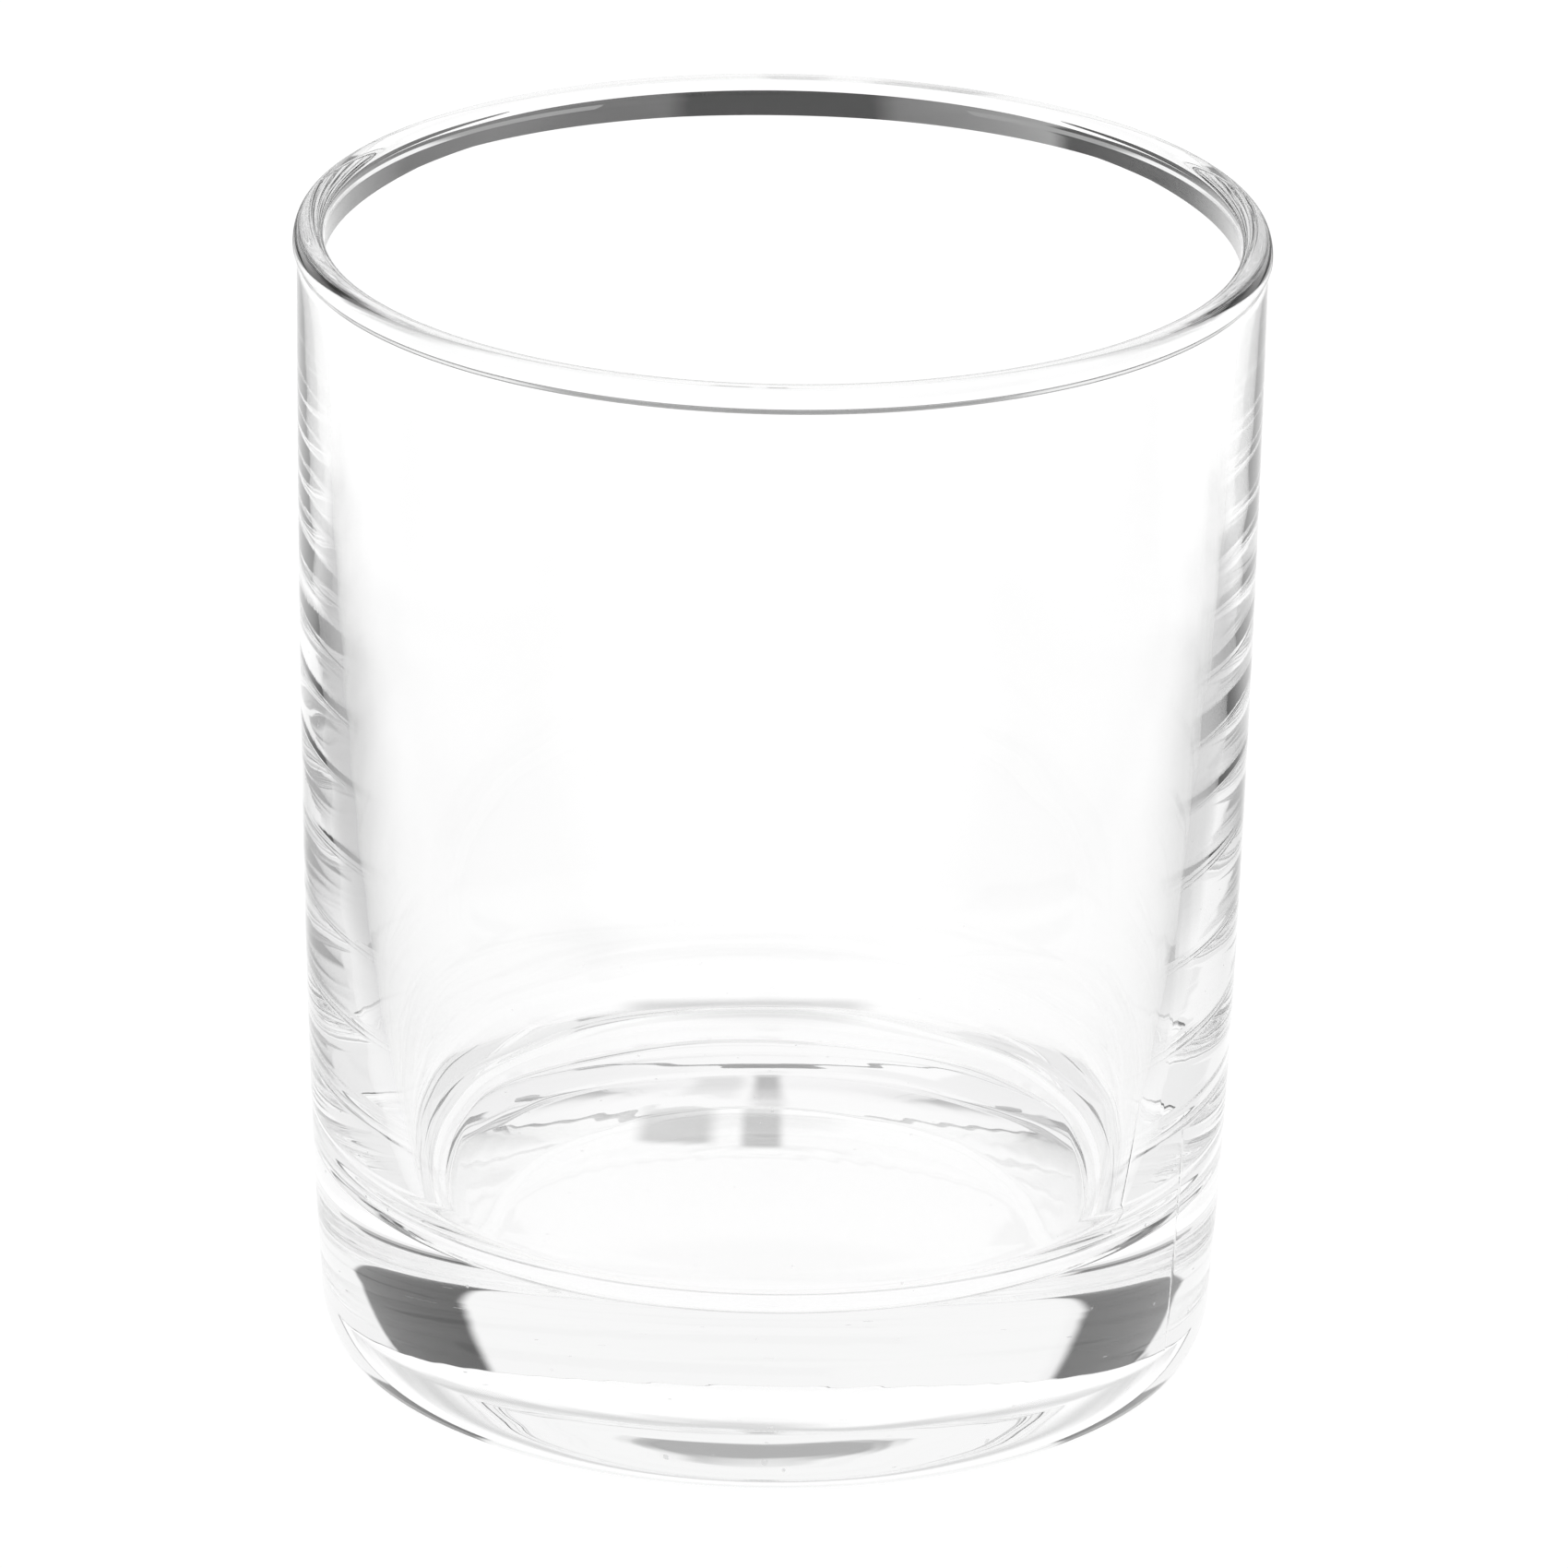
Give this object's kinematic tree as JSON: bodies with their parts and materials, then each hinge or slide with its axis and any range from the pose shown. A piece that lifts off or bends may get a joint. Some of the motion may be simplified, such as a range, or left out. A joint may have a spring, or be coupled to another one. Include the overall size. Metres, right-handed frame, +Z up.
{
  "type": "whisky glass",
  "caption": "Clear old-fashioned whisky tumbler with a thick base, a gently tapering wall and a beaded rim.",
  "frame": {"origin": "centre of the flat ring that the glass stands on", "axes": "+Z up along the axis of the glass, towards the rim; the glass is round, so +X and +Y are free, and the picture is taken looking along +Y and down"},
  "size_m": [0.076, 0.076, 0.092],
  "materials": {
    "clear_glass": "clear soda-lime glass, fire polished"
  },
  "bodies": {
    "root": {"tumbler": "clear_glass"}
  },
  "joints": []
}
